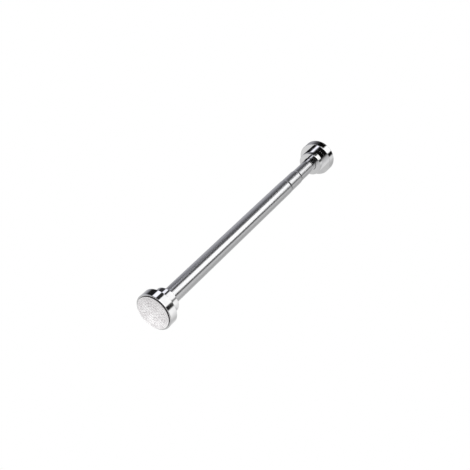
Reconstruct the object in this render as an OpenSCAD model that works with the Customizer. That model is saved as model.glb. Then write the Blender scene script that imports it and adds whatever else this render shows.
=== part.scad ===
// Telescopic tension rod with twist lock and one sprung foot.
// The rod lies along +X and +Z is up. The origin is the middle of the near pad's wall face.
// All sizes are in millimetres.

/* [Outer tube] */
// Outside diameter of the fixed tube
outer_tube_d = 25; // [24.6:0.2:30]
// Wall of the fixed tube
outer_tube_wall = 0.8; // [0.6:0.1:1]
// Length of the fixed tube, from its socket to its mouth
outer_tube_length = 387.4; // [340:0.2:520]
// Length of the drawn-down mouth, without its shoulder
neck_length = 34.5; // [20:0.5:50]
// Length of the shoulder between the tube and its neck
neck_shoulder = 4; // [1:0.5:5]
// Length over which the edge of the mouth is rolled in
mouth_taper = 3.4; // [1:0.2:4]
// How far the edge of the mouth is rolled in
mouth_drop = 0.5; // [0.2:0.1:0.5]

/* [Inner tube] */
// Outside diameter of the sliding tube
inner_tube_d = 22; // [21:0.1:22]
// Wall of the sliding tube
inner_tube_wall = 0.8; // [0.6:0.1:1]
// Length of the sliding tube
inner_tube_length = 350; // [300:1:360]
// How far the sliding tube's end stands out of the mouth as drawn
drawn_out = 57.5; // [56.5:0.5:200]

/* [End flanges] */
// Diameter of the wide drum that faces the wall
drum_d = 57.5; // [54:0.5:70]
// Length of the drum along the rod
drum_length = 14; // [12:0.5:20]
// Wall of the cast drum
drum_wall = 2.5; // [1.5:0.1:3]
// Diameter of the collar round the tube
collar_d = 40; // [38:0.5:46]
// Length of the near collar along the rod
near_collar_length = 16.5; // [14:0.5:20]
// Length of the far collar along the rod
far_collar_length = 19; // [14:0.5:20]
// Wall of the cast collar
collar_wall = 2; // [1.5:0.1:2.5]
// Radius on the outer edges of drum and collar
edge_round = 0.6; // [0.2:0.1:1]
// Gap round the fixed tube where it enters its collar
near_collar_gap = 0.2; // [0.1:0.05:0.5]
// Gap round the sliding tube where it enters its collar
far_collar_gap = 0.5; // [0.3:0.1:0.8]

/* [Grip pads] */
// How far a pad stands proud of its drum
pad_proud = 2; // [1:0.5:3]
// Full thickness of a pad
pad_thick = 4.2; // [3.5:0.1:5]
// Gap between a pad and the drum's lip
pad_gap = 0.3; // [0.1:0.1:0.6]
// Radius on a pad's wall edge
pad_round = 0.5; // [0.2:0.1:0.9]
// Number of grooves round a pad's wall face
groove_count = 3; // [1:1:4]
// Distance from one groove to the next
groove_pitch = 1.7; // [1.2:0.1:2.5]
// Width of a groove
groove_width = 0.7; // [0.3:0.1:0.9]
// Depth of a groove
groove_depth = 0.5; // [0.2:0.1:0.8]

/* [Sockets] */
// Thickness of the moulded web that a tube or plunger stands on
socket_web = 3.75; // [2.5:0.25:5]
// Radius of the pocket for a screw head
pocket_r = 7; // [6.8:0.1:9]
// Number of core pockets moulded in a socket's disc
core_count = 6; // [3:1:7]
// Radius of a core pocket
core_r = 3.5; // [2:0.5:4]
// Distance of the core pockets from the rod's axis
core_ring_r = 16; // [14:0.5:18]
// Depth of a core pocket
core_depth = 5; // [2:0.5:6]
// Length of the plug in the fixed tube's end
near_plug_length = 20; // [19:0.5:22]

/* [Screws] */
// Diameter of the foot screws
screw_d = 5; // [4:0.5:5]
// Length of a foot screw under its head
screw_length = 18; // [14:0.5:18]
// Diameter of a foot screw's head
screw_head_d = 9.5; // [8:0.5:10]
// Height of a foot screw's head
screw_head_h = 2.6; // [2:0.1:2.8]
// Diameter of a foot screw's washer
washer_d = 13; // [11:0.5:13]
// Thickness of every washer
washer_thick = 1; // [0.8:0.1:1.2]
// Width of a cross recess arm
recess_width = 1.1; // [0.8:0.1:1.4]
// Span of a cross recess as a share of its screw's head
recess_span = 0.62; // [0.5:0.02:0.7]

/* [Twist lock] */
// Distance between the post's axis and its eccentric journal
cam_offset = 1; // [0.9:0.05:1.1]
// Radial gap between the cam ring and the fixed tube while the lock is open
cam_gap = 0.6; // [0.6:0.05:0.8]
// Radius of the eccentric journal
cam_journal_r = 5; // [4:0.5:5]
// Length of the cam ring
cam_length = 13.8; // [10:0.1:15]
// Width of the slot that lets the cam ring spread
cam_slot = 1.6; // [1:0.1:2.5]
// Radius of the journal that the guide bush turns on
guide_journal_r = 6.2; // [6.1:0.1:8]
// Length of the guide bush
guide_length = 9.8; // [8:0.1:12]
// Length of the post's plug in the sliding tube
post_plug_length = 20; // [12:1:30]
// Thickness of the post's shoulder against the sliding tube's end
post_shoulder = 3; // [2:0.5:5]
// Radius of the washer that keeps the cam ring on
cam_washer_r = 7.5; // [6.5:0.1:8.5]
// Diameter of the screw that keeps the cam ring on
cam_screw_d = 4; // [3:0.5:4]
// Length of that screw under its head
cam_screw_length = 14; // [10:0.5:18]
// Length of the glide sleeve behind the neck
sleeve_length = 32; // [15:0.5:40]

/* [Sprung foot] */
// How far the sprung foot can be pressed in
foot_stroke = 12; // [6:0.5:12]
// Room left in the socket when the foot is pressed right in
stroke_room = 0.6; // [0.3:0.1:1]
// Radius of the plunger's stem
stem_r = 5; // [4.5:0.1:6]
// Radius of the plunger's foot in its socket
stem_foot_r = 8; // [7:0.1:9.5]
// Thickness of the plunger's foot
stem_foot_thick = 1.4; // [1:0.1:1.6]
// Radial gap between the plunger's head and the sliding tube
head_gap = 0.6; // [0.3:0.1:1]
// Thickness of the plunger's head
head_thick = 4; // [2:0.5:6]
// Length of the plug that guides the stem
guide_plug_length = 25; // [15:0.5:30]
// Length of the fitted spring
spring_length = 80; // [60:1:100]
// Number of curls in the spring
spring_curls = 18; // [12:1:22]
// Diameter of the spring's wire
wire_d = 1.6; // [1.2:0.1:1.8]
// Mean radius of the spring
spring_r = 7.6; // [7.2:0.1:8.2]
// Length of the plug that the spring pushes from
stop_length = 14; // [8:1:20]
// Length of that plug's spigot inside the spring
spigot_length = 12; // [6:1:16]
// Radius of that spigot
spigot_r = 5; // [4:0.5:6]

/* [Fits] */
// Gap between flat faces that seat on each other
seat_gap = 0.05; // [0.02:0.01:0.1]
// Radial clearance of a plug that is pressed home
press_gap = 0.05; // [0.02:0.01:0.08]
// Radial clearance of a shaft that runs in a hole
run_gap = 0.05; // [0.03:0.01:0.08]
// Radial clearance between the sliding tube and its glide sleeve
glide_gap = 0.1; // [0.06:0.01:0.12]
// Radial gap between the sliding tube and the drawn-down neck
neck_gap = 0.2; // [0.15:0.05:0.4]
// End clearance of the pieces that turn on the lock post
end_gap = 0.1; // [0.06:0.01:0.2]
// Gap between a washer and what it seats on
washer_gap = 0.1; // [0.06:0.02:0.2]
// Room between a foot screw's head and the pad
head_room = 0.3; // [0.2:0.1:1]
// Gap between the sliding tube and its socket in the foot
socket_slide_gap = 0.3; // [0.2:0.05:0.4]

/* [Hidden] */
$fn = 96;

outer_r = outer_tube_d / 2;
outer_bore_r = outer_r - outer_tube_wall;
inner_r = inner_tube_d / 2;
inner_bore_r = inner_r - inner_tube_wall;
neck_bore_r = inner_r + neck_gap;
neck_r = neck_bore_r + outer_tube_wall;

// Places in an end flange are measured from its pad's wall face, along the rod.
drum_r = drum_d / 2;
cup_r = drum_r - drum_wall;
drum_front = pad_proud;
drum_back = drum_front + drum_length;
cup_floor = drum_back - drum_wall;
collar_r = collar_d / 2;
collar_bore_r = collar_r - collar_wall;
pad_r = cup_r - pad_gap;
disc_front = pad_thick + seat_gap;
disc_back = cup_floor - seat_gap;
pocket_floor = disc_front + head_room + screw_head_h + washer_thick + washer_gap;
socket_floor = pocket_floor + socket_web;
tube_seat = socket_floor + seat_gap;

// Places along the rod.
outer_start = tube_seat;
outer_mouth = outer_start + outer_tube_length;
neck_start = outer_mouth - neck_length;
shoulder_start = neck_start - neck_shoulder;
inner_end = outer_mouth + drawn_out;
inner_start = inner_end - inner_tube_length;

guide_end = inner_start - post_shoulder - end_gap;
guide_start = guide_end - guide_length;
guide_seat = guide_start - end_gap;
cam_end = guide_seat - end_gap;
cam_start = cam_end - cam_length;
post_tip = cam_start - end_gap;
cam_journal_length = guide_seat - post_tip;

// Places in the sprung foot, measured from the far pad's wall face.
inner_tip = tube_seat + stem_foot_thick + stroke_room + foot_stroke;
rod_length = inner_end + inner_tip;
guide_plug_back = inner_tip + guide_plug_length;
head_start = guide_plug_back + seat_gap;
head_end = head_start + head_thick;
spring_washer_start = head_end + seat_gap;
spring_start = spring_washer_start + washer_thick + washer_gap;
spring_end = spring_start + spring_length;
stop_start = spring_end + washer_gap;

// Sizes of the spring's tube.
ring_steps = 8;
wire_sides = 6;
wire_r = wire_d / 2;

// Lays a shape that is drawn along +Z along the rod.
module along_rod() {
    rotate([0, 90, 0]) children();
}

// Places a shape drawn from a pad's wall face at the far end of the rod.
module at_far_end() {
    translate([rod_length, 0, 0]) mirror([1, 0, 0]) children();
}

// A solid cylinder from x0 to x1.
module bar(x0, x1, r) {
    along_rod() translate([0, 0, x0]) cylinder(h = x1 - x0, r = r);
}

// A cylinder that cuts past both ends of the stretch from x0 to x1.
module drill(x0, x1, r) {
    bar(x0 - 1, x1 + 1, r);
}

// A cylinder from x0 to x1 with rounded ends on its outer edges.
module soft_bar(x0, x1, r, round_start, round_end) {
    along_rod() rotate_extrude() {
        translate([0, x0]) square([r - max(round_start, round_end), x1 - x0]);
        translate([0, x0 + round_start]) square([r, x1 - x0 - round_start - round_end]);
        intersection() {
            translate([0, x0]) square([r, x1 - x0]);
            union() {
                translate([r - round_start, x0 + round_start]) circle(r = round_start, $fn = 48);
                translate([r - round_end, x1 - round_end]) circle(r = round_end, $fn = 48);
            }
        }
    }
}

// The fixed tube, drawn down to a neck at its mouth.
module outer_tube() {
    color("silver") along_rod() rotate_extrude() polygon([
        [outer_bore_r, outer_start],
        [outer_r, outer_start],
        [outer_r, shoulder_start],
        [neck_r, neck_start],
        [neck_r, outer_mouth - mouth_taper],
        [neck_r - mouth_drop, outer_mouth],
        [neck_bore_r, outer_mouth],
        [neck_bore_r, neck_start],
        [outer_bore_r, shoulder_start]
    ]);
}

// The plain sliding tube.
module inner_tube() {
    color("gainsboro") difference() {
        bar(inner_start, inner_end, inner_r);
        drill(inner_start, inner_end, inner_bore_r);
    }
}

// A thin nylon sleeve behind the neck that the sliding tube glides in.
module glide_sleeve() {
    sleeve_end = shoulder_start - seat_gap;
    color("white") difference() {
        bar(sleeve_end - sleeve_length, sleeve_end, outer_bore_r - press_gap);
        drill(sleeve_end - sleeve_length, sleeve_end, inner_r + glide_gap);
    }
}

// A chromed casting: a wide drum, open to the wall, with a narrower hollow collar behind it.
module flange(bore_r, collar_length) {
    collar_end = drum_back + collar_length;
    collar_floor = collar_end - collar_wall;
    color("lightsteelblue") difference() {
        union() {
            soft_bar(drum_front, drum_back, drum_r, edge_round, edge_round);
            soft_bar(cup_floor, collar_end, collar_r, 0, edge_round);
        }
        bar(0, cup_floor, cup_r);
        bar(pad_thick, collar_floor, collar_bore_r);
        drill(cup_floor, collar_end, bore_r);
    }
}

// A rubber disc whose wall face has grooves round a plain middle.
module pad() {
    outer_groove_r = pad_r - pad_round - groove_width;
    color("lightgray") difference() {
        soft_bar(0, pad_thick, pad_r, pad_round, 0);
        for (i = [0:groove_count - 1]) {
            groove_r = outer_groove_r - i * groove_pitch;
            difference() {
                bar(-1, groove_depth, groove_r);
                bar(-2, groove_depth + 1, groove_r - groove_width);
            }
        }
    }
}

// A moulded disc that fills the drum, with a hub that holds a tube's end.
module socket(socket_r, collar_length) {
    hub_end = drum_back + collar_length - collar_wall - seat_gap;
    color("dimgray") difference() {
        union() {
            bar(disc_front, disc_back, cup_r - press_gap);
            bar(disc_back - 1, hub_end, collar_bore_r - press_gap);
        }
        drill(disc_front, socket_floor, screw_d / 2 + run_gap);
        bar(disc_front - 1, pocket_floor, pocket_r);
        bar(socket_floor, hub_end + 1, socket_r);
        for (i = [0:core_count - 1]) {
            rotate([i * 360 / core_count, 0, 0]) translate([0, 0, core_ring_r])
                bar(disc_front - 1, disc_front + core_depth, core_r);
        }
    }
}

// A pan-head screw that points along +X, with the underside of its head at x = 0.
module pan_screw(d, length, head_d, head_h) {
    reach = head_d * recess_span;
    depth = head_h / 2;
    color("lightgray") difference() {
        union() {
            soft_bar(-head_h, 0, head_d / 2, head_h / 3, 0);
            bar(-head_h / 2, length, d / 2);
        }
        for (turn = [0, 90]) {
            rotate([turn, 0, 0]) translate([-head_h - 1, -reach / 2, -recess_width / 2])
                cube([depth + 1, reach, recess_width]);
        }
    }
}

// A flat washer from x to x + washer_thick.
module washer(x, r, hole_r) {
    color("lightgray") difference() {
        bar(x, x + washer_thick, r);
        drill(x, x + washer_thick, hole_r);
    }
}

// The screw that holds a socket to what stands in it.
module foot_screw() {
    translate([pocket_floor - washer_thick - washer_gap, 0, 0])
        pan_screw(screw_d, screw_length, screw_head_d, screw_head_h);
}

// The washer under a foot screw's head.
module foot_washer() {
    washer(pocket_floor - washer_thick - seat_gap, washer_d / 2, screw_d / 2 + run_gap);
}

module near_flange() {
    flange(outer_r + near_collar_gap, near_collar_length);
}

module near_pad() {
    pad();
}

module near_socket() {
    socket(outer_r + press_gap, near_collar_length);
}

module near_screw() {
    foot_screw();
}

module near_washer() {
    foot_washer();
}

// How deep a foot screw's hole runs past the end of the screw.
function screw_hole_end() = pocket_floor + screw_length + 1;

// A plug pressed in the fixed tube's end that the near screw bites in.
module near_plug() {
    color("dimgray") difference() {
        bar(tube_seat, tube_seat + near_plug_length, outer_bore_r - press_gap);
        bar(tube_seat - 1, screw_hole_end(), screw_d / 2 + run_gap);
    }
}

// The bush on the lock post that slides in the fixed tube and doesn't turn with the post.
module guide_bush() {
    color("white") difference() {
        bar(guide_start, guide_end, outer_bore_r - run_gap);
        drill(guide_start, guide_end, guide_journal_r + run_gap);
    }
}

// Moves a shape from the rod's axis to the eccentric journal's axis.
module on_cam_axis() {
    translate([0, 0, cam_offset]) children();
}

// The post pressed in the sliding tube's inner end, with a plain and an eccentric journal.
module lock_post() {
    color("dimgray") difference() {
        union() {
            bar(inner_start - post_shoulder, inner_start - seat_gap, inner_r);
            bar(inner_start - post_shoulder, inner_start + post_plug_length, inner_bore_r - press_gap);
            bar(guide_seat, inner_start, guide_journal_r);
            on_cam_axis() bar(post_tip, inner_start, cam_journal_r);
        }
        on_cam_axis() bar(post_tip - 1, post_tip + cam_screw_length + 1, cam_screw_d / 2 + run_gap);
    }
}

// The slotted ring that the eccentric journal wedges against the fixed tube.
module cam_ring() {
    color("black") difference() {
        bar(cam_start, cam_end, outer_bore_r - cam_gap);
        on_cam_axis() drill(cam_start, cam_end, cam_journal_r + run_gap);
        translate([cam_start - 1, -cam_slot / 2, 0]) cube([cam_length + 2, cam_slot, outer_r]);
    }
}

module cam_washer() {
    on_cam_axis() washer(post_tip - seat_gap - washer_thick, cam_washer_r, cam_screw_d / 2 + run_gap);
}

module cam_screw() {
    on_cam_axis() translate([post_tip - 2 * seat_gap - washer_thick, 0, 0])
        pan_screw(cam_screw_d, cam_screw_length, cam_screw_d * 1.8, cam_screw_d * 0.55);
}

// The plug fixed in the sliding tube that the spring pushes from.
module spring_stop() {
    color("dimgray") at_far_end() {
        bar(stop_start, stop_start + stop_length, inner_bore_r - press_gap);
        bar(stop_start - spigot_length, stop_start + 1, spigot_r);
    }
}

// Points along the middle of the spring's wire, each with its angle round the rod.
function spring_point(i, n) = let(
    turn = i * 360 / ring_steps,
    x = spring_start + wire_d + (spring_length - 2 * wire_d) * i / n
) [x, turn];
function spring_path() = let(n = spring_curls * ring_steps) concat(
    [[spring_start, 0]],
    [for (i = [0:n]) spring_point(i, n)],
    [[spring_end, n * 360 / ring_steps]]
);
function in_space(p) = [p[0], spring_r * cos(p[1]), spring_r * sin(p[1])];
function unit(v) = v / norm(v);

// One ring of points round the wire, square to the mean of its two neighbours' directions.
function wire_ring(points, turns, i) = let(
    last = len(points) - 1,
    before = i == 0 ? [1, 0, 0] : unit(points[i] - points[i - 1]),
    after = i == last ? [1, 0, 0] : unit(points[i + 1] - points[i]),
    along = unit(before + after),
    out = [0, cos(turns[i]), sin(turns[i])],
    out_square = unit(out - (out * along) * along),
    side = cross(along, out_square)
) [for (k = [0:wire_sides - 1])
    points[i] + wire_r * (cos(k * 360 / wire_sides) * out_square + sin(k * 360 / wire_sides) * side)];

// The least gap between two stretches of wire that are at least half a curl apart.
function spring_gap(points) = let(last = len(points) - 1) min([
    for (i = [0:last]) for (j = [i + ring_steps / 2:last])
        if (j <= last) norm(points[j] - points[i]) - wire_d
]);

// The spring, as one unbroken tube.
module tension_spring() {
    path = spring_path();
    points = [for (p = path) in_space(p)];
    turns = [for (p = path) p[1]];
    count = len(points);
    rings = [for (i = [0:count - 1]) each wire_ring(points, turns, i)];
    sides = [for (i = [0:count - 2]) for (k = [0:wire_sides - 1]) let(
        a = i * wire_sides + k,
        b = i * wire_sides + (k + 1) % wire_sides
    ) each [[a, b, a + wire_sides], [b, b + wire_sides, a + wire_sides]]];
    first_cap = [for (k = [1:wire_sides - 2]) [0, k + 1, k]];
    base = (count - 1) * wire_sides;
    last_cap = [for (k = [1:wire_sides - 2]) [base, base + k, base + k + 1]];
    echo(spring_least_gap = spring_gap(points));
    color("gray") at_far_end() polyhedron(points = rings, faces = concat(first_cap, sides, last_cap));
}

module spring_washer() {
    at_far_end() washer(spring_washer_start, inner_bore_r - head_gap, spigot_r);
}

// The plug in the sliding tube's far end that guides the plunger's stem.
module guide_plug() {
    color("dimgray") at_far_end() difference() {
        bar(inner_tip, guide_plug_back, inner_bore_r - press_gap);
        drill(inner_tip, guide_plug_back, stem_r + run_gap);
    }
}

// The headed plunger that carries the sprung foot.
module plunger() {
    color("silver") at_far_end() difference() {
        union() {
            bar(tube_seat, head_end, stem_r);
            bar(tube_seat, tube_seat + stem_foot_thick, stem_foot_r);
            bar(head_start, head_end, inner_bore_r - head_gap);
        }
        bar(tube_seat - 1, screw_hole_end(), screw_d / 2 + run_gap);
    }
}

module far_washer() {
    at_far_end() foot_washer();
}

module far_screw() {
    at_far_end() foot_screw();
}

module far_socket() {
    at_far_end() socket(inner_r + socket_slide_gap, far_collar_length);
}

module far_flange() {
    at_far_end() flange(inner_r + far_collar_gap, far_collar_length);
}

module far_pad() {
    at_far_end() pad();
}

outer_tube();
glide_sleeve();
near_flange();
near_pad();
near_socket();
near_plug();
near_screw();
near_washer();
guide_bush();
inner_tube();
lock_post();
cam_ring();
cam_washer();
cam_screw();
spring_stop();
tension_spring();
spring_washer();
guide_plug();
plunger();
far_washer();
far_screw();
far_socket();
far_flange();
far_pad();
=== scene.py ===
import math

import bmesh
import bpy
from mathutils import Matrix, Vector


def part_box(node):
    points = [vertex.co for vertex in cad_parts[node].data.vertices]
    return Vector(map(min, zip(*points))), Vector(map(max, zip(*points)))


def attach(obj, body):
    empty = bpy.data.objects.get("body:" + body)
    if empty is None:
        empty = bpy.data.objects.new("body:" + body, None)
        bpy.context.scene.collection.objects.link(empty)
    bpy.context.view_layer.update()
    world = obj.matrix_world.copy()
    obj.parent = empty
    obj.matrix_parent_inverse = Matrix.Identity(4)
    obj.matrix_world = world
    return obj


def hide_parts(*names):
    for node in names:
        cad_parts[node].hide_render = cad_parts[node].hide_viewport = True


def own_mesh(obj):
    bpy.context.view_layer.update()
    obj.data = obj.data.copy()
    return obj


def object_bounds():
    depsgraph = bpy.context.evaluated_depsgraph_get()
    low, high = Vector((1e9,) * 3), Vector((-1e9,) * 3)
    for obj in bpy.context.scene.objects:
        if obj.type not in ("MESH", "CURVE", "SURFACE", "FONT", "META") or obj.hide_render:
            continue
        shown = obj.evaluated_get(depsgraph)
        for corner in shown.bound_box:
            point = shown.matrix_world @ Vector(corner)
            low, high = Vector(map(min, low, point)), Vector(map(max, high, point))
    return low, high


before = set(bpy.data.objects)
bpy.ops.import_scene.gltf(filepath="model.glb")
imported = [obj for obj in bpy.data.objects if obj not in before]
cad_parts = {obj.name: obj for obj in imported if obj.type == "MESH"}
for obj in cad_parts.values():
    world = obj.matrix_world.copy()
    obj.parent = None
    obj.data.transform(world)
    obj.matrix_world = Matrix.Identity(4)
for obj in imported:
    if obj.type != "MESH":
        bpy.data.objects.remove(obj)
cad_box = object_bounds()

# Camera: it stands in front of the near foot and to its left, above the rod, and looks down
# along it. The view takes in the whole rod, from the near pad to the back of the far flange.
# The plain view transform keeps the white of the floor white.
CAMERA_PLACE = (-0.60337, -0.50996, 0.71296)
CAMERA_HEADING = math.radians(32.214)
CAMERA_DOWN = math.radians(36.677)
CAMERA_LENS = 60.457
camera = bpy.data.objects.new("camera", bpy.data.cameras.new("camera"))
camera.data.lens = CAMERA_LENS
camera.location = CAMERA_PLACE
camera.rotation_euler = (math.radians(90) - CAMERA_DOWN, 0, CAMERA_HEADING - math.radians(90))
bpy.context.scene.collection.objects.link(camera)
bpy.context.scene.camera = camera
bpy.context.scene.view_settings.view_transform = "Standard"

# Floor: a plain white light table that the rod lies on, so that nothing has a hard shadow.
# The metal doesn't mirror it: what the metal shows from below comes from the studio's bands.
FLOOR_SIDE = 60
rod_low, rod_high = cad_box


def add_node(tree, kind, inputs=None, stops=None, **settings):
    """Adds a node, sets its properties and colour stops, and sets or links its inputs."""
    node = tree.nodes.new(kind)
    for name, value in settings.items():
        setattr(node, name, value)
    for socket, value in (inputs or {}).items():
        if isinstance(value, bpy.types.NodeSocket):
            tree.links.new(value, node.inputs[socket])
        else:
            node.inputs[socket].default_value = value
    for i, (place, colour) in enumerate(stops or []):
        point = node.color_ramp.elements[i] if i < 2 else node.color_ramp.elements.new(place)
        point.position = place
        point.color = colour
    return node


floor_mesh = bmesh.new()
bmesh.ops.create_grid(floor_mesh, x_segments=1, y_segments=1, size=FLOOR_SIDE / 2)
bmesh.ops.translate(floor_mesh, verts=floor_mesh.verts, vec=(0, 0, rod_low.z))
floor = bpy.data.objects.new("floor", bpy.data.meshes.new("floor"))
floor_mesh.to_mesh(floor.data)
floor_mesh.free()
floor.visible_glossy = False
floor.visible_shadow = False
bpy.context.scene.collection.objects.link(floor)
light_table = bpy.data.materials.new("white light table")
light_table.use_nodes = True
light_table.cycles.emission_sampling = "NONE"
light_table.node_tree.nodes.clear()
table_light = add_node(light_table.node_tree, "ShaderNodeEmission", {"Strength": 1})
add_node(light_table.node_tree, "ShaderNodeOutputMaterial", {"Surface": table_light.outputs["Emission"]})
floor.data.materials.append(light_table)

# Studio light: soft boxes and black cards stand in long bands round the rod's axis, and the
# metal mirrors them. An angle of 0 is level on the rod's far side, 90 is overhead and 180 is
# level in front. A level of 1 is the white of the floor, and a soft box is brighter.
BANDS_BEHIND_CAMERA = [
    (-60, 0.60),
    (-56, 0.60),
    (-52, 0.80),
    (-49.5, 0.60),
    (-46, 0.01),
    (-20, 0.002),
    (10, 0.004),
    (18, 0.03),
    (25, 0.15),
    (31, 0.65),
    (36, 1.45),
    (50, 1.45),
    (58, 0.50),
    (65, 0.08),
    (70, 0.008),
    (158, 0.004),
    (166, 0.06),
    (174, 0.26),
    (186, 0.56),
    (194, 0.66),
    (210, 0.75),
    (235, 0.90),
    (260, 0.90),
    (285, 0.78),
    (300, 0.60),
]
BANDS_BY_NEAR_FOOT = [
    (-60, 0.90),
    (-40, 0.75),
    (-20, 0.51),
    (0, 0.31),
    (12, 0.07),
    (17, 0.015),
    (49, 0.015),
    (53, 1.20),
    (72.5, 1.20),
    (75.5, 0.03),
    (93.5, 0.02),
    (97, 1.13),
    (146, 1.13),
    (150.5, 0.03),
    (157, 0.006),
    (170, 0.01),
    (178.5, 1.09),
    (198, 1.06),
    (216, 0.86),
    (240, 0.64),
    (249, 0.59),
    (264, 0.65),
    (288, 0.86),
    (300, 0.90),
]
BANDS_BY_NEAR_COLLAR = [
    (-60, 0.95),
    (-20, 0.51),
    (0, 0.30),
    (12, 0.07),
    (17, 0.045),
    (50, 0.045),
    (55, 1.15),
    (72, 1.15),
    (75.5, 0.05),
    (88, 0.06),
    (92, 1.13),
    (151, 1.13),
    (156, 0.34),
    (166, 0.34),
    (171, 1.06),
    (198, 1.06),
    (220, 0.88),
    (300, 0.95),
]
BANDS_ALONG_TUBE = [
    (-60, 0.57),
    (3, 0.57),
    (15, 0.54),
    (27, 0.46),
    (39, 0.34),
    (51, 0.22),
    (60, 0.15),
    (72, 0.13),
    (94, 0.09),
    (101, 1.88),
    (143, 1.88),
    (150, 0.10),
    (165, 0.10),
    (174, 0.76),
    (192, 0.74),
    (216, 0.55),
    (240, 0.54),
    (258, 0.62),
    (276, 0.70),
    (300, 0.57),
]
BANDS_BY_FAR_FOOT = [
    (-60, 0.43),
    (-33, 0.36),
    (-10, 0.34),
    (5, 0.27),
    (17, 0.16),
    (29, 0.08),
    (41, 0.045),
    (51, 0.006),
    (58, 0.002),
    (91.5, 0.003),
    (96.5, 0.35),
    (101, 1.20),
    (140.5, 1.20),
    (148, 0.04),
    (151, 0.002),
    (163.5, 0.003),
    (169, 0.16),
    (176, 0.80),
    (191, 0.76),
    (203, 0.61),
    (221, 0.50),
    (257, 0.48),
    (275, 0.52),
    (300, 0.43),
]
BANDS_AHEAD = [
    (-60, 0.50),
    (40, 0.42),
    (75, 0.05),
    (92, 0.01),
    (148, 0.01),
    (160, 0.22),
    (300, 0.50),
]
BANDS_PAST_ENDS = [
    (-60, 0.35),
    (-10, 0.25),
    (45, 0.35),
    (75, 0.95),
    (105, 0.95),
    (135, 0.35),
    (190, 0.25),
    (240, 0.35),
    (300, 0.35),
]
BAND_LOW = -60
BAND_HIGH = 300
BAND_SLANT = math.radians(60)
NECK_LEAN = math.radians(24)
# How far along the rod a direction points, where 1 is straight towards the far foot.
SLANT_START = 0.564
NECK_LEAN_START = 0.736
NECK_LEAN_END = 0.76
CORNER_START = -0.1
CORNER_END = -0.25
# How far a direction points across the rod, and how far up, where the cool tint comes in.
COOL_ACROSS = (-0.2, 0.3)
COOL_UP = (-0.45, -0.1)
COOL_SIDE = (0.968, 0.973, 1.05, 1)
WHITE = (1, 1, 1, 1)
# The Mix node's sockets for two colours and for what they make.
MIX_FIRST = 6
MIX_SECOND = 7
MIX_RESULT = 2
world = bpy.data.worlds.new("studio")
bpy.context.scene.world = world
# The bands are there for the metal to mirror, and the lamps and the floor light the rest.
world.cycles_visibility.diffuse = False
world.use_nodes = True
sky = world.node_tree
sky.nodes.clear()
towards = add_node(sky, "ShaderNodeTexCoord").outputs["Generated"]
parts = add_node(sky, "ShaderNodeSeparateXYZ", {"Vector": towards})
round_rod = add_node(sky, "ShaderNodeMath", {0: parts.outputs["Z"], 1: parts.outputs["Y"]},
                     operation="ARCTAN2").outputs[0]


def reach(axis, start, end, full=1):
    """A value that goes from 0 to full as a direction turns from start to end along an axis."""
    return add_node(sky, "ShaderNodeMapRange", {
        "Value": parts.outputs[axis],
        "From Min": start,
        "From Max": end,
        "To Max": full,
    }).outputs["Result"]


def turned(angle, turn):
    """An angle round the rod with a turn added to it."""
    return add_node(sky, "ShaderNodeMath", {0: angle, 1: turn}, operation="ADD").outputs[0]


def band_light(angle, bands):
    """The light at an angle round the rod, from a list of angles and their levels."""
    within = add_node(sky, "ShaderNodeMath", {
        0: angle,
        1: math.radians(BAND_HIGH),
        2: math.radians(BAND_LOW),
    }, operation="WRAP")
    share = add_node(sky, "ShaderNodeMapRange", {
        "Value": within.outputs[0],
        "From Min": math.radians(BAND_LOW),
        "From Max": math.radians(BAND_HIGH),
    })
    return add_node(sky, "ShaderNodeValToRGB", {"Fac": share.outputs["Result"]}, stops=[
        ((stop - BAND_LOW) / (BAND_HIGH - BAND_LOW), (level, level, level, 1))
        for stop, level in bands
    ]).outputs["Color"]


def blend_light(first, second, share, **settings):
    """Light that goes from the first to the second as the share goes from 0 to 1."""
    return add_node(sky, "ShaderNodeMix", {"Factor": share, MIX_FIRST: first, MIX_SECOND: second},
                    data_type="RGBA", **settings).outputs[MIX_RESULT]


# The bands lean over as they run on to the far foot, and the tube's own lean back at its neck.
slanted = turned(round_rod, reach("X", SLANT_START, 1, -BAND_SLANT * (1 - SLANT_START)))
leaning = turned(slanted, reach("X", NECK_LEAN_START, NECK_LEAN_END, NECK_LEAN))
along_tube = band_light(leaning, BANDS_ALONG_TUBE)
past_ends = band_light(round_rod, BANDS_PAST_ENDS)
behind_camera = band_light(round_rod, BANDS_BEHIND_CAMERA)
# Stretches of bands, from past the near end to past the far end: how far along the rod a
# direction points where each starts, half of the width that it blends over, and its light.
stretches = [
    (-0.794, 0.004, behind_camera),
    (-0.75, 0.004, along_tube),
    (0.55, 0.002, band_light(slanted, BANDS_BY_NEAR_FOOT)),
    (0.589, 0.001, band_light(slanted, BANDS_BY_NEAR_COLLAR)),
    (0.598, 0.001, along_tube),
    (0.773, 0.002, band_light(slanted, BANDS_BY_FAR_FOOT)),
    (0.82, 0.015, band_light(slanted, BANDS_AHEAD)),
    (0.93, 0.01, past_ends),
]
in_metal = past_ends
for start, half_blend, light in stretches:
    in_metal = blend_light(in_metal, light, reach("X", start - half_blend, start + half_blend))
# In the corner of the far collar and its step the metal mirrors itself, so that light comes by
# way of two mirrorings, and there the dark studio behind the camera fills the whole corner.
ray = add_node(sky, "ShaderNodeLightPath")
mirrored_twice = add_node(sky, "ShaderNodeMath", {0: ray.outputs["Glossy Depth"], 1: 1.5},
                          operation="GREATER_THAN").outputs[0]
corner_share = reach("X", CORNER_START, CORNER_END, full=mirrored_twice)
in_metal = blend_light(in_metal, behind_camera, corner_share)
cool_share = reach("Y", *COOL_ACROSS, full=reach("Z", *COOL_UP))
in_metal = blend_light(in_metal, COOL_SIDE, cool_share, blend_type="MULTIPLY")
shown = blend_light(in_metal, WHITE, ray.outputs["Is Camera Ray"])
studio = add_node(sky, "ShaderNodeBackground", {"Color": shown, "Strength": 1})
add_node(sky, "ShaderNodeOutputWorld", {"Surface": studio.outputs["Background"]})

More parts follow.
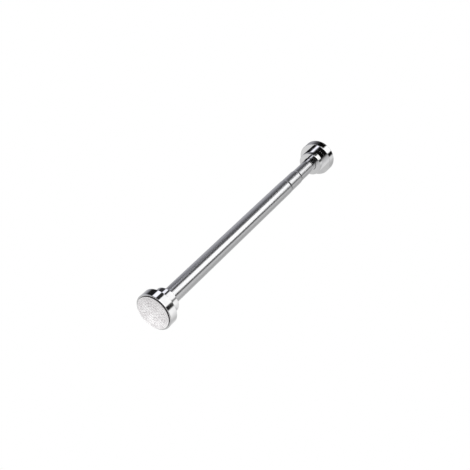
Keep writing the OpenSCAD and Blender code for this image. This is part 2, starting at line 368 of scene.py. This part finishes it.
# Overhead lamps: broad soft lamps that light the rubber and nylon from above and from both
# ends. The metal doesn't mirror them, because it mirrors the studio's bands.
LAMP_SPREAD = math.radians(150)
END_LAMP_TILT = math.radians(60)
# How far each lamp is turned over along the rod, and its strength.
LAMPS = {
    "overhead": (0, 1.6),
    "near_end": (-END_LAMP_TILT, 0.46),
    "far_end": (END_LAMP_TILT, 0.46),
}
for name, (tilt, strength) in LAMPS.items():
    lamp = bpy.data.objects.new("lamp_" + name, bpy.data.lights.new("lamp_" + name, "SUN"))
    lamp.data.energy = strength
    lamp.data.angle = LAMP_SPREAD
    lamp.rotation_euler = (0, tilt, 0)
    lamp.visible_glossy = False
    bpy.context.scene.collection.objects.link(lamp)

# Foot lamps: a small soft lamp stands low in front of each pad, like the white table's glow on
# it. It makes the pads paler downwards, and the metal doesn't mirror it. Sizes are in mm.
MM = 0.001
FOOT_LAMP_OUT = 32
FOOT_LAMP_UP = 8
FOOT_LAMP_R = 16
FOOT_LAMP_POWER = 0.019
for end, place in (("near", rod_low.x - FOOT_LAMP_OUT * MM), ("far", rod_high.x + FOOT_LAMP_OUT * MM)):
    lamp = bpy.data.objects.new(end + "_foot_lamp", bpy.data.lights.new(end + "_foot_lamp", "POINT"))
    lamp.data.energy = FOOT_LAMP_POWER
    lamp.data.shadow_soft_size = FOOT_LAMP_R * MM
    lamp.location = (place, 0, rod_low.z + FOOT_LAMP_UP * MM)
    lamp.visible_camera = False
    lamp.visible_glossy = False
    bpy.context.scene.collection.objects.link(lamp)

# Fixed tube: a 25 mm stainless steel tube with a 0.8 mm wall, ground and polished on its
# outside. Its mouth is drawn down to a neck that the sliding tube just passes through.
TURN_STEPS = 192
ROUND_STEPS = 5
EDGE_HOLD = 0.15
MERGE_GAP = 0.001
SHARP_ANGLE = math.radians(40)
TUBE_WALL = 0.8
NECK_LENGTH = 34.5
NECK_SHOULDER = 4
NECK_R = 12
NECK_BORE_R = 11.2
MOUTH_TAPER = 3.4
MOUTH_R = 11.5


def outline_loop(corners, closed=True, held=True):
    """Draws an outline of (x, radius, rounding) corners in mm, above the rod's axis.
    Its straight lines are held by a point close to each end, so that they shade flat."""
    mesh = bmesh.new()
    points = [mesh.verts.new((x * MM, 0, r * MM)) for x, r, rounding in corners]
    following = points[1:] + points[:1] if closed else points[1:]
    for a, b in zip(points, following):
        mesh.edges.new((a, b))
    for point, (x, r, rounding) in zip(points, corners):
        if rounding:
            bmesh.ops.bevel(mesh, geom=[point], offset=rounding * MM, segments=ROUND_STEPS,
                            profile=0.5, affect="VERTICES", material=-1)
    hold = EDGE_HOLD * MM
    for edge in [e for e in mesh.edges if held and e.calc_length() > 4 * hold]:
        a, b = edge.verts
        length = edge.calc_length()
        near_a = bmesh.utils.edge_split(edge, a, hold / length)[1]
        rest = mesh.edges.get((near_a, b))
        bmesh.utils.edge_split(rest, b, hold / (length - hold))
    return mesh


def turn_round(mesh, steps=TURN_STEPS):
    """Spins an outline round the rod's axis and closes its seam and poles."""
    bmesh.ops.spin(mesh, geom=mesh.verts[:] + mesh.edges[:], cent=(0, 0, 0), axis=(1, 0, 0),
                   angle=math.tau, steps=steps, use_merge=True, use_duplicate=False)
    bmesh.ops.remove_doubles(mesh, verts=mesh.verts, dist=MERGE_GAP * MM)
    bmesh.ops.recalc_face_normals(mesh, faces=mesh.faces)


def make_piece(name, mesh, material):
    """Makes a finished mesh an object of its own, smooth but for its sharp edges."""
    for face in mesh.faces:
        face.smooth = True
    for edge in mesh.edges:
        edge.smooth = edge.calc_face_angle(0) < SHARP_ANGLE
    piece = bpy.data.objects.new(name, bpy.data.meshes.new(name))
    mesh.to_mesh(piece.data)
    mesh.free()
    piece.data.materials.append(material)
    bpy.context.scene.collection.objects.link(piece)
    return piece


def new_material(name):
    """Starts a material: its node tree, its shader and its place on the piece."""
    material = bpy.data.materials.new(name)
    material.use_nodes = True
    tree = material.node_tree
    shader = tree.nodes["Principled BSDF"]
    place = add_node(tree, "ShaderNodeTexCoord").outputs["Object"]
    return material, tree, shader, place


def linear(hex_colour):
    """Turns an sRGB colour such as "#c0c0c0" to linear red, green, blue and alpha."""
    parts = [int(hex_colour[i:i + 2], 16) / 255 for i in (1, 3, 5)]
    return [c / 12.92 if c <= 0.04045 else ((c + 0.055) / 1.055) ** 2.4 for c in parts] + [1]


# Satin stainless steel, brushed along the tube: a cool grey mirror whose highlights spread
# round the tube, with faint lines along it. Real lines are about 0.1 mm apart and these are
# drawn 0.8 mm apart, so that they show.
STEEL_COLOUR = "#cfcfd0"
STEEL_DARK = "#c9c9ca"
LINE_SPACING = 0.8
LINE_LENGTH = 60
LINE_DEPTH = 0.01
stainless, tree, shader, place = new_material("satin stainless steel")
lines_place = add_node(tree, "ShaderNodeMapping", {
    "Vector": place,
    "Scale": (1 / (LINE_LENGTH * MM), 1 / (LINE_SPACING * MM), 1 / (LINE_SPACING * MM)),
})
lines = add_node(tree, "ShaderNodeTexNoise", {
    "Vector": lines_place.outputs["Vector"],
    "Scale": 1,
    "Detail": 3,
    "Roughness": 0.6,
})
steel_tone = add_node(tree, "ShaderNodeValToRGB", {"Fac": lines.outputs["Fac"]}, stops=[
    (0.3, linear(STEEL_DARK)),
    (0.7, linear(STEEL_COLOUR)),
])
steel_haze = add_node(tree, "ShaderNodeMapRange", {
    "Value": lines.outputs["Fac"],
    "From Min": 0.3,
    "From Max": 0.7,
    "To Min": 0.17,
    "To Max": 0.21,
})
steel_lines = add_node(tree, "ShaderNodeBump", {
    "Strength": 0.04,
    "Distance": LINE_DEPTH * MM,
    "Height": lines.outputs["Fac"],
})
shader.inputs["Metallic"].default_value = 1
tree.links.new(steel_tone.outputs["Color"], shader.inputs["Base Color"])
tree.links.new(steel_haze.outputs["Result"], shader.inputs["Roughness"])
tree.links.new(steel_lines.outputs["Normal"], shader.inputs["Normal"])

tube_low, tube_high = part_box("outer_tube")
tube_start = tube_low.x / MM
tube_mouth = tube_high.x / MM
tube_r = tube_high.z / MM
tube_bore_r = tube_r - TUBE_WALL
neck_start = tube_mouth - NECK_LENGTH
shoulder_start = neck_start - NECK_SHOULDER
fixed_tube_mesh = outline_loop([
    (tube_start, tube_bore_r, 0.2),
    (tube_start, tube_r, 0.2),
    (shoulder_start, tube_r, 0.3),
    (neck_start, NECK_R, 0.3),
    (tube_mouth - MOUTH_TAPER, NECK_R, 0.15),
    (tube_mouth, MOUTH_R, 0.1),
    (tube_mouth, NECK_BORE_R, 0.05),
    (neck_start, NECK_BORE_R, 0.5),
    (shoulder_start, tube_bore_r, 0.5),
])
turn_round(fixed_tube_mesh)
fixed_tube = make_piece("fixed_tube", fixed_tube_mesh, stainless)
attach(fixed_tube, "fixed_rod")
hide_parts("outer_tube")

# Sliding tube: the same steel in the next size down, 22 mm, so that it telescopes in the
# fixed tube. Both of its ends are deburred.
inner_low, inner_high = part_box("inner_tube")
inner_start = inner_low.x / MM
inner_end = inner_high.x / MM
inner_r = inner_high.z / MM
inner_bore_r = inner_r - TUBE_WALL
sliding_tube_mesh = outline_loop([
    (inner_start, inner_bore_r, 0.15),
    (inner_start, inner_r, 0.15),
    (inner_end, inner_r, 0.15),
    (inner_end, inner_bore_r, 0.15),
])
turn_round(sliding_tube_mesh)
sliding_tube = make_piece("sliding_tube", sliding_tube_mesh, stainless)
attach(sliding_tube, "sliding_rod")
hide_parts("inner_tube")

# Nylon glides: the white sleeve behind the neck and the bush on the lock post are moulded in
# unfilled nylon, which is milky and waxy and lets the tubes slide and turn without oil.
NYLON_WHITE = "#e9e7df"
NYLON_SHADE = "#dcd9cf"
MILK_SIZE = 6
WAX_SIZE = 0.8
WAX_DEPTH = 0.03
white_nylon, tree, shader, place = new_material("white moulded nylon")
milk = add_node(tree, "ShaderNodeTexNoise", {
    "Vector": place,
    "Scale": 1 / (MILK_SIZE * MM),
    "Detail": 2,
})
milk_tone = add_node(tree, "ShaderNodeValToRGB", {"Fac": milk.outputs["Fac"]}, stops=[
    (0.35, linear(NYLON_SHADE)),
    (0.65, linear(NYLON_WHITE)),
])
wax = add_node(tree, "ShaderNodeTexNoise", {"Vector": place, "Scale": 1 / (WAX_SIZE * MM), "Detail": 2})
waxy_skin = add_node(tree, "ShaderNodeBump", {
    "Strength": 0.15,
    "Distance": WAX_DEPTH * MM,
    "Height": wax.outputs["Fac"],
})
tree.links.new(milk_tone.outputs["Color"], shader.inputs["Base Color"])
tree.links.new(waxy_skin.outputs["Normal"], shader.inputs["Normal"])
shader.inputs["Roughness"].default_value = 0.38
shader.inputs["IOR"].default_value = 1.53
shader.inputs["Subsurface Weight"].default_value = 0.1
shader.inputs["Subsurface Scale"].default_value = 1 * MM


def dress(node, material):
    """Gives a piece that keeps its own shape its real finish."""
    for material_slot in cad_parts[node].material_slots:
        material_slot.material = material


for node in ("glide_sleeve", "guide_bush"):
    dress(node, white_nylon)

# Plugs, lock post, cam ring and sockets: glass-filled black nylon, injection moulded and
# pressed or screwed in. It is matt, with the faint flow marks that the glass leaves.
NYLON_BLACK = "#161618"
NYLON_FLOW = "#26262a"
FLOW_SIZE = 4
SPARK_SIZE = 0.35
SPARK_DEPTH = 0.04
black_nylon, tree, shader, place = new_material("black glass-filled nylon")
flow = add_node(tree, "ShaderNodeTexNoise", {
    "Vector": place,
    "Scale": 1 / (FLOW_SIZE * MM),
    "Detail": 4,
    "Distortion": 0.8,
})
flow_tone = add_node(tree, "ShaderNodeValToRGB", {"Fac": flow.outputs["Fac"]}, stops=[
    (0.35, linear(NYLON_BLACK)),
    (0.75, linear(NYLON_FLOW)),
])
# Spark: the fine grain of a mould that was cut by spark erosion.
spark = add_node(tree, "ShaderNodeTexNoise", {
    "Vector": place,
    "Scale": 1 / (SPARK_SIZE * MM),
    "Detail": 2,
})
spark_skin = add_node(tree, "ShaderNodeBump", {
    "Strength": 0.25,
    "Distance": SPARK_DEPTH * MM,
    "Height": spark.outputs["Fac"],
})
tree.links.new(flow_tone.outputs["Color"], shader.inputs["Base Color"])
tree.links.new(spark_skin.outputs["Normal"], shader.inputs["Normal"])
shader.inputs["Roughness"].default_value = 0.55
shader.inputs["IOR"].default_value = 1.53
for node in ("near_plug", "lock_post", "cam_ring", "spring_stop", "guide_plug",
             "near_socket", "far_socket"):
    dress(node, black_nylon)

# Sprung foot's spring: a compression spring coiled from drawn steel wire, with its two end
# coils wound close so that they stand square on the stop and on the washer.
WIRE_D = 1.6
SPRING_R = 7.6
SPRING_CURLS = 18
CLOSE_CURLS = 1
CURL_STEPS = 24
WIRE_SIDES = 12
# Oil-tempered wire: a dark grey with warmer patches where the oil film is thicker.
SPRING_GREY = "#8a8a8f"
SPRING_BROWN = "#6f6c69"
OIL_SIZE = 3
spring_steel, tree, shader, place = new_material("oiled spring wire")
oil = add_node(tree, "ShaderNodeTexNoise", {"Vector": place, "Scale": 1 / (OIL_SIZE * MM), "Detail": 3})
oil_tone = add_node(tree, "ShaderNodeValToRGB", {"Fac": oil.outputs["Fac"]}, stops=[
    (0.35, linear(SPRING_BROWN)),
    (0.65, linear(SPRING_GREY)),
])
oil_gloss = add_node(tree, "ShaderNodeMapRange", {
    "Value": oil.outputs["Fac"],
    "From Min": 0.35,
    "From Max": 0.65,
    "To Min": 0.25,
    "To Max": 0.42,
})
shader.inputs["Metallic"].default_value = 1
tree.links.new(oil_tone.outputs["Color"], shader.inputs["Base Color"])
tree.links.new(oil_gloss.outputs["Result"], shader.inputs["Roughness"])

spring_low, spring_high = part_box("tension_spring")
spring_length = (spring_high.x - spring_low.x) / MM
open_curls = SPRING_CURLS - 2 * CLOSE_CURLS
open_pitch = (spring_length - WIRE_D * (1 + 2 * CLOSE_CURLS)) / open_curls
coil_mesh = bmesh.new()
bmesh.ops.create_circle(coil_mesh, cap_ends=True, segments=WIRE_SIDES, radius=WIRE_D / 2 * MM)
bmesh.ops.translate(coil_mesh, verts=coil_mesh.verts,
                    vec=(spring_high.x - WIRE_D / 2 * MM, SPRING_R * MM, 0))
coil_end = coil_mesh.verts[:] + coil_mesh.edges[:] + coil_mesh.faces[:]
for curls, pitch in ((CLOSE_CURLS, WIRE_D), (open_curls, open_pitch), (CLOSE_CURLS, WIRE_D)):
    coil_end = bmesh.ops.spin(coil_mesh, geom=coil_end, cent=(0, 0, 0), axis=(1, 0, 0),
                              dvec=(-pitch * MM / CURL_STEPS, 0, 0), angle=curls * math.tau,
                              steps=curls * CURL_STEPS, use_duplicate=False)["geom_last"]
bmesh.ops.recalc_face_normals(coil_mesh, faces=coil_mesh.faces)
coil = make_piece("coil_spring", coil_mesh, spring_steel)
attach(coil, "sliding_rod")
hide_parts("tension_spring")
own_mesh(coil)

# Plunger, screws and washers: turned or pressed steel with bright zinc plating, which has a
# cool blue tint with paler, cloudy patches.
ZINC_BLUE = "#b3b9c3"
ZINC_PALE = "#c9c9c4"
CLOUD_SIZE = 2.5
zinc, tree, shader, place = new_material("bright zinc plating")
clouds = add_node(tree, "ShaderNodeTexNoise", {
    "Vector": place,
    "Scale": 1 / (CLOUD_SIZE * MM),
    "Detail": 3,
})
zinc_tone = add_node(tree, "ShaderNodeValToRGB", {"Fac": clouds.outputs["Fac"]}, stops=[
    (0.35, linear(ZINC_BLUE)),
    (0.65, linear(ZINC_PALE)),
])
zinc_gloss = add_node(tree, "ShaderNodeMapRange", {
    "Value": clouds.outputs["Fac"],
    "From Min": 0.35,
    "From Max": 0.65,
    "To Min": 0.22,
    "To Max": 0.36,
})
shader.inputs["Metallic"].default_value = 1
tree.links.new(zinc_tone.outputs["Color"], shader.inputs["Base Color"])
tree.links.new(zinc_gloss.outputs["Result"], shader.inputs["Roughness"])
for node in ("plunger", "spring_washer", "cam_washer", "cam_screw", "near_washer", "near_screw",
             "far_washer", "far_screw"):
    dress(node, zinc)

# End flanges: zinc die castings, buffed and chrome plated. Each is a wide drum, open to the
# wall, with a narrower collar behind it, and all of their outer edges are softly rounded.
DRUM_LENGTH = 14
DRUM_WALL = 2.5
COLLAR_R = 20
COLLAR_WALL = 2
COLLAR_GAPS = {"near": 0.2, "far": 0.5}
CASTING_ROUND = 0.6
CORNER_ROUND = 0.1
FOOT_BODY = {"near": "fixed_rod", "far": "sprung_foot"}
# Bright chrome over a buffed casting: an almost perfect mirror, with a very slight unevenness
# left by the buffing wheel.
CHROME_COLOUR = "#efefef"
CHROME_DARK = "#e7e7e8"
BUFFING_SIZE = 9
chrome, tree, shader, place = new_material("polished chrome plate")
buffing = add_node(tree, "ShaderNodeTexNoise", {
    "Vector": place,
    "Scale": 1 / (BUFFING_SIZE * MM),
    "Detail": 2,
    "Roughness": 0.5,
})
chrome_tone = add_node(tree, "ShaderNodeValToRGB", {"Fac": buffing.outputs["Fac"]}, stops=[
    (0.3, linear(CHROME_DARK)),
    (0.7, linear(CHROME_COLOUR)),
])
chrome_gloss = add_node(tree, "ShaderNodeMapRange", {
    "Value": buffing.outputs["Fac"],
    "From Min": 0.3,
    "From Max": 0.7,
    "To Min": 0.02,
    "To Max": 0.05,
})
shader.inputs["Metallic"].default_value = 1
tree.links.new(chrome_tone.outputs["Color"], shader.inputs["Base Color"])
tree.links.new(chrome_gloss.outputs["Result"], shader.inputs["Roughness"])


def turn_to_far_end(mesh):
    """Turns a shape made for the near foot round to the far end of the rod."""
    bmesh.ops.scale(mesh, verts=mesh.verts, vec=(-1, 1, 1))
    bmesh.ops.translate(mesh, verts=mesh.verts, vec=(rod_high.x + rod_low.x, 0, 0))
    bmesh.ops.recalc_face_normals(mesh, faces=mesh.faces)


flange_low, flange_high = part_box("near_flange")
drum_front = flange_low.x / MM
drum_r = flange_high.z / MM
drum_back = drum_front + DRUM_LENGTH
cup_floor = drum_back - DRUM_WALL
cup_r = drum_r - DRUM_WALL
collar_bore_r = COLLAR_R - COLLAR_WALL
far_flange_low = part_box("far_flange")[0]
collar_ends = {"near": flange_high.x / MM, "far": (rod_high.x + rod_low.x - far_flange_low.x) / MM}
held_tube_r = {"near": tube_r, "far": inner_r}
for end in ("near", "far"):
    collar_end = collar_ends[end]
    mouth_r = held_tube_r[end] + COLLAR_GAPS[end]
    casting_mesh = outline_loop([
        (drum_front, cup_r, 0.2),
        (drum_front, drum_r, CASTING_ROUND),
        (drum_back, drum_r, CASTING_ROUND),
        (drum_back, COLLAR_R, CORNER_ROUND),
        (collar_end, COLLAR_R, CASTING_ROUND),
        (collar_end, mouth_r, 0.2),
        (collar_end - COLLAR_WALL, mouth_r, 0),
        (collar_end - COLLAR_WALL, collar_bore_r, 0),
        (cup_floor, collar_bore_r, 0),
        (cup_floor, cup_r, 0),
    ])
    turn_round(casting_mesh)
    if end == "far":
        turn_to_far_end(casting_mesh)
    casting = make_piece(end + "_casting", casting_mesh, chrome)
    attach(casting, FOOT_BODY[end])
    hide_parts(end + "_flange")

# Grip pads: soft pale rubber discs that press on the walls, moulded on a darker base. The face
# has a plain rim, two grooves inside it, and blocks laid in rings like bricks.
PAD_R = 25.95
PAD_THICK = 4.2
PAD_ROUND = 0.5
RIM_WIDTH = 1.8
GROOVE_DEPTH = 0.5
GROOVE_WIDTH = 0.7
GROOVE_PITCH = 1.7
GROOVE_ROUND = 0.1
GROOVES = 2
FIELD_DEPTH = 0.5
FLAT_WITHIN = 0.01
DOT_R = 1.7
BLOCK_RINGS = 4
BLOCKS_IN_FIRST_RING = 6
BLOCK_RING_START = 2.6
BLOCK_RING_PITCH = 4.6
BLOCK_RING_WIDTH = 3.7
BLOCK_GAP = 0.8
BLOCK_ROUND = 0.2
BLOCK_MERGE_GAP = 0.01
PAD_STEPS = 360
field_r = PAD_R - RIM_WIDTH - GROOVES * GROOVE_PITCH


def pad_outline():
    """The pad's section from the middle of its face, over its rim and back to the axis."""
    corners = [(FIELD_DEPTH, 0, 0), (FIELD_DEPTH, DOT_R, 0)]
    for ring in range(BLOCK_RINGS):
        inner = BLOCK_RING_START + ring * BLOCK_RING_PITCH
        corners += [(FIELD_DEPTH, inner, 0), (FIELD_DEPTH, inner + BLOCK_RING_WIDTH, 0)]
    corners += [(FIELD_DEPTH, field_r, GROOVE_ROUND), (0, field_r, GROOVE_ROUND)]
    for groove in reversed(range(GROOVES)):
        outer = PAD_R - RIM_WIDTH - groove * GROOVE_PITCH
        inner = outer - GROOVE_WIDTH
        corners += [(0, inner, GROOVE_ROUND), (GROOVE_DEPTH, inner, GROOVE_ROUND)]
        corners += [(GROOVE_DEPTH, outer, GROOVE_ROUND), (0, outer, GROOVE_ROUND)]
    corners += [(0, PAD_R, PAD_ROUND), (PAD_THICK, PAD_R, 0), (PAD_THICK, 0, 0)]
    return corners


def is_block(face):
    """Whether a face of the pad lies where a block or the middle dot stands up from the field.
    Faces are a degree wide, so the gap between two blocks is a whole number of degrees."""
    middle = face.calc_center_median() / MM
    if abs(middle.x - FIELD_DEPTH) > FLAT_WITHIN:
        return False
    r = math.hypot(middle.y, middle.z)
    if r < DOT_R:
        return True
    ring, past_start = divmod(r - BLOCK_RING_START, BLOCK_RING_PITCH)
    if not 0 <= ring < BLOCK_RINGS or past_start >= BLOCK_RING_WIDTH:
        return False
    pitch = 360 / (BLOCKS_IN_FIRST_RING * (ring + 1))
    middle_r = BLOCK_RING_START + ring * BLOCK_RING_PITCH + BLOCK_RING_WIDTH / 2
    gap = round(math.degrees(BLOCK_GAP / middle_r))
    angle = math.degrees(math.atan2(middle.z, middle.y)) + (ring % 2) * pitch / 2
    return angle % pitch >= gap


# Thermoplastic rubber: pale and matt, with a faint pink cast, and painted shade that makes it greyer
# down in the relief, with a charcoal base that shows as a thin dark line round the pad's side.
RUBBER_PALE = "#f7f6f6"
RUBBER_PAINTED_SHADE = "#efedee"
RUBBER_BASE = "#2b2a2d"
BLOOM_GREY = "#eceaeb"
BLOOM_WHITE = "#ffffff"
BLOOM_SIZE = 9
GRAIN_SIZE = 0.4
GRAIN_DEPTH = 0.05
PAINTED_SHADE_MARGIN = 0.1
FACE_LAYER = 0.8
LAYER_BLEND = 0.05
rod_middle = (rod_low.x + rod_high.x) / 2
rod_half = rod_high.x - rod_middle
grip_rubber, tree, shader, place = new_material("pale grip rubber")
place_parts = add_node(tree, "ShaderNodeSeparateXYZ", {"Vector": place})
from_middle = add_node(tree, "ShaderNodeMath", {
    0: place_parts.outputs["X"],
    1: rod_middle,
}, operation="SUBTRACT")
out_from_middle = add_node(tree, "ShaderNodeMath", {0: from_middle.outputs[0]}, operation="ABSOLUTE")
# The depth runs over the first millimetre under the face, so the stops are in mm: painted shade greys
# the rubber down in the relief, and deeper it turns to the charcoal base.
depth = add_node(tree, "ShaderNodeMapRange", {
    "Value": out_from_middle.outputs[0],
    "From Min": rod_half,
    "From Max": rod_half - MM,
})
painted_shade_and_base = add_node(tree, "ShaderNodeValToRGB", {"Fac": depth.outputs["Result"]}, stops=[
    (PAINTED_SHADE_MARGIN, linear(RUBBER_PALE)),
    (FIELD_DEPTH - PAINTED_SHADE_MARGIN, linear(RUBBER_PAINTED_SHADE)),
    (FACE_LAYER, linear(RUBBER_PAINTED_SHADE)),
    (FACE_LAYER + LAYER_BLEND, linear(RUBBER_BASE)),
])
# Bloom: the pale film that rubber sweats out, thicker in some places than in others.
bloom = add_node(tree, "ShaderNodeTexNoise", {
    "Vector": place,
    "Scale": 1 / (BLOOM_SIZE * MM),
    "Detail": 3,
})
bloom_tone = add_node(tree, "ShaderNodeValToRGB", {"Fac": bloom.outputs["Fac"]}, stops=[
    (0.3, linear(BLOOM_GREY)),
    (0.65, linear(BLOOM_WHITE)),
])
rubber_tone = add_node(tree, "ShaderNodeMix", {
    "Factor": 1,
    MIX_FIRST: painted_shade_and_base.outputs["Color"],
    MIX_SECOND: bloom_tone.outputs["Color"],
}, data_type="RGBA", blend_type="MULTIPLY")
grain = add_node(tree, "ShaderNodeTexNoise", {
    "Vector": place,
    "Scale": 1 / (GRAIN_SIZE * MM),
    "Detail": 3,
})
grain_skin = add_node(tree, "ShaderNodeBump", {
    "Strength": 0.3,
    "Distance": GRAIN_DEPTH * MM,
    "Height": grain.outputs["Fac"],
})
tree.links.new(rubber_tone.outputs[MIX_RESULT], shader.inputs["Base Color"])
tree.links.new(grain_skin.outputs["Normal"], shader.inputs["Normal"])
shader.inputs["Roughness"].default_value = 0.62
shader.inputs["IOR"].default_value = 1.5

for end in ("near", "far"):
    pad_mesh = outline_loop(pad_outline(), closed=False, held=False)
    turn_round(pad_mesh, PAD_STEPS)
    blocks = [face for face in pad_mesh.faces if is_block(face)]
    raised = bmesh.ops.extrude_face_region(pad_mesh, geom=blocks)["geom"]
    bmesh.ops.delete(pad_mesh, geom=blocks, context="FACES")
    tops = {item for item in raised if isinstance(item, bmesh.types.BMFace)}
    top_corners = [item for item in raised if isinstance(item, bmesh.types.BMVert)]
    bmesh.ops.translate(pad_mesh, verts=top_corners, vec=(-FIELD_DEPTH * MM, 0, 0))
    rims = [edge for edge in pad_mesh.edges if sum(face in tops for face in edge.link_faces) == 1]
    bmesh.ops.bevel(pad_mesh, geom=rims, offset=BLOCK_ROUND * MM, segments=2, profile=0.5,
                    affect="EDGES", material=-1, clamp_overlap=True)
    # The bevel leaves a few points on top of each other, and they are merged.
    bmesh.ops.remove_doubles(pad_mesh, verts=pad_mesh.verts, dist=BLOCK_MERGE_GAP * MM)
    bmesh.ops.recalc_face_normals(pad_mesh, faces=pad_mesh.faces)
    if end == "far":
        turn_to_far_end(pad_mesh)
    grip = make_piece(end + "_grip", pad_mesh, grip_rubber)
    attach(grip, FOOT_BODY[end])
    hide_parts(end + "_pad")
